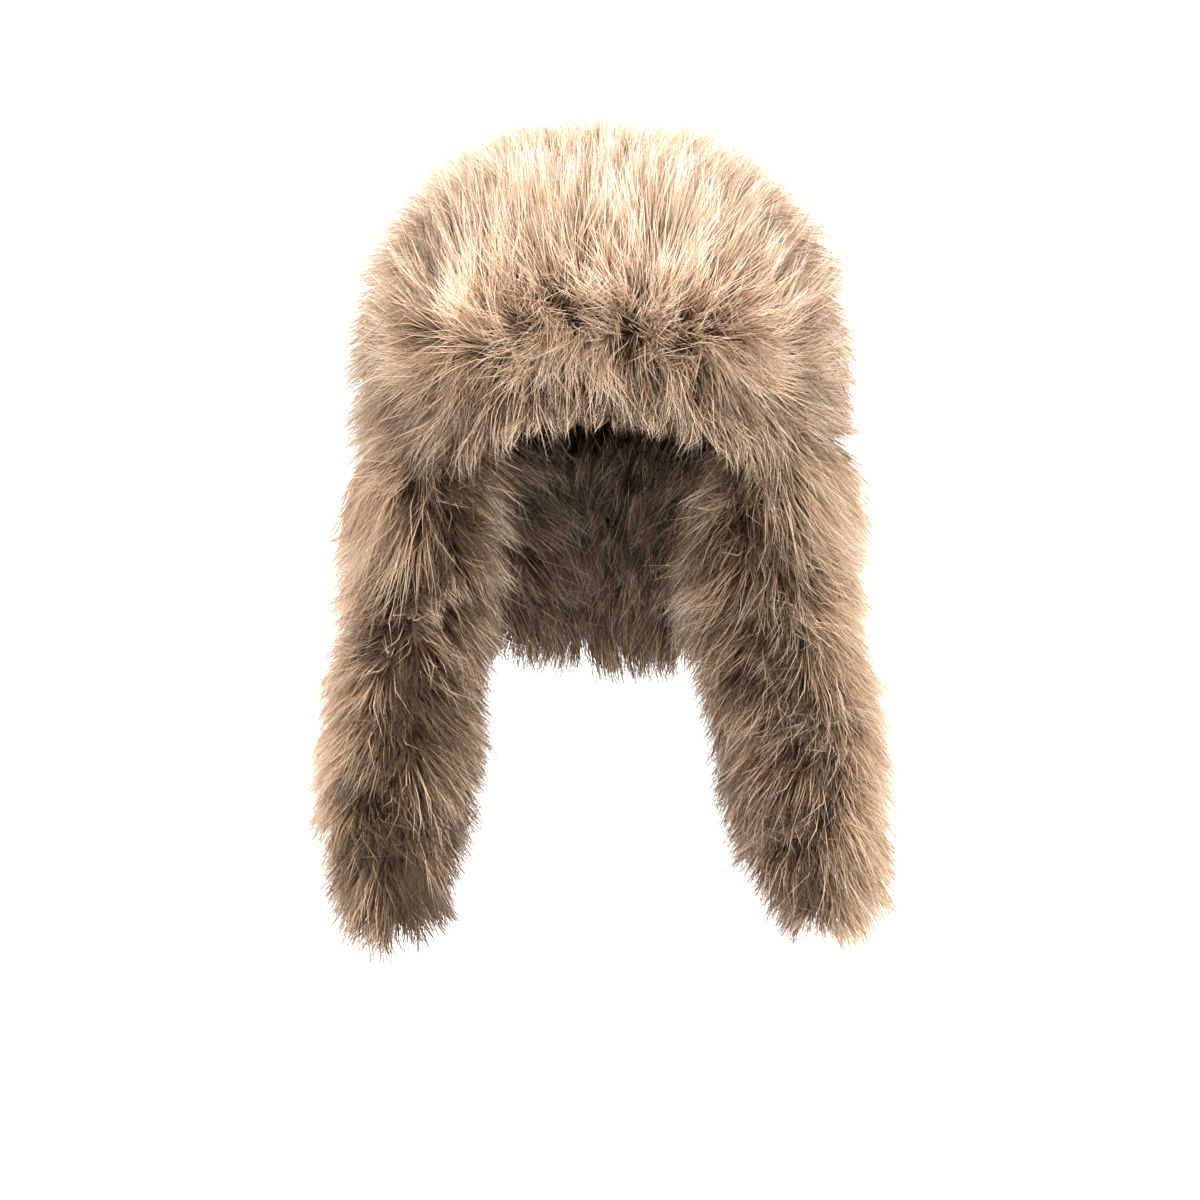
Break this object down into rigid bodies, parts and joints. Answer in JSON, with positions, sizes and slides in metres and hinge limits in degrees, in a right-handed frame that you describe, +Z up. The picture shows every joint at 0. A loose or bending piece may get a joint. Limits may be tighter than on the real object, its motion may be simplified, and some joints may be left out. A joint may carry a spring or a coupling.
{
  "type": "fur trapper hat",
  "caption": "Deep-fur trapper hat with a domed crown, a turned-up front flap, hanging ear flaps and a neck flap.",
  "frame": {"origin": "inside of the top of the crown, where the hat sits on a head", "axes": "+Z up, -Y to the front where the front flap is, +X to the right as seen from the front"},
  "size_m": [0.2773, 0.2939, 0.4127],
  "materials": {
    "fur": "deep beige-brown faux fur with pale tips and dark roots",
    "backing": "matt brown woven backing and lining"
  },
  "bodies": {
    "root": {"crown": "backing", "crown_fur": "fur", "front_flap": "backing", "front_flap_fur": "fur", "ear_flap_left": "backing", "ear_flap_left_fur": "fur", "ear_flap_right": "backing", "ear_flap_right_fur": "fur", "neck_flap": "backing", "neck_flap_fur": "fur"}
  },
  "joints": []
}
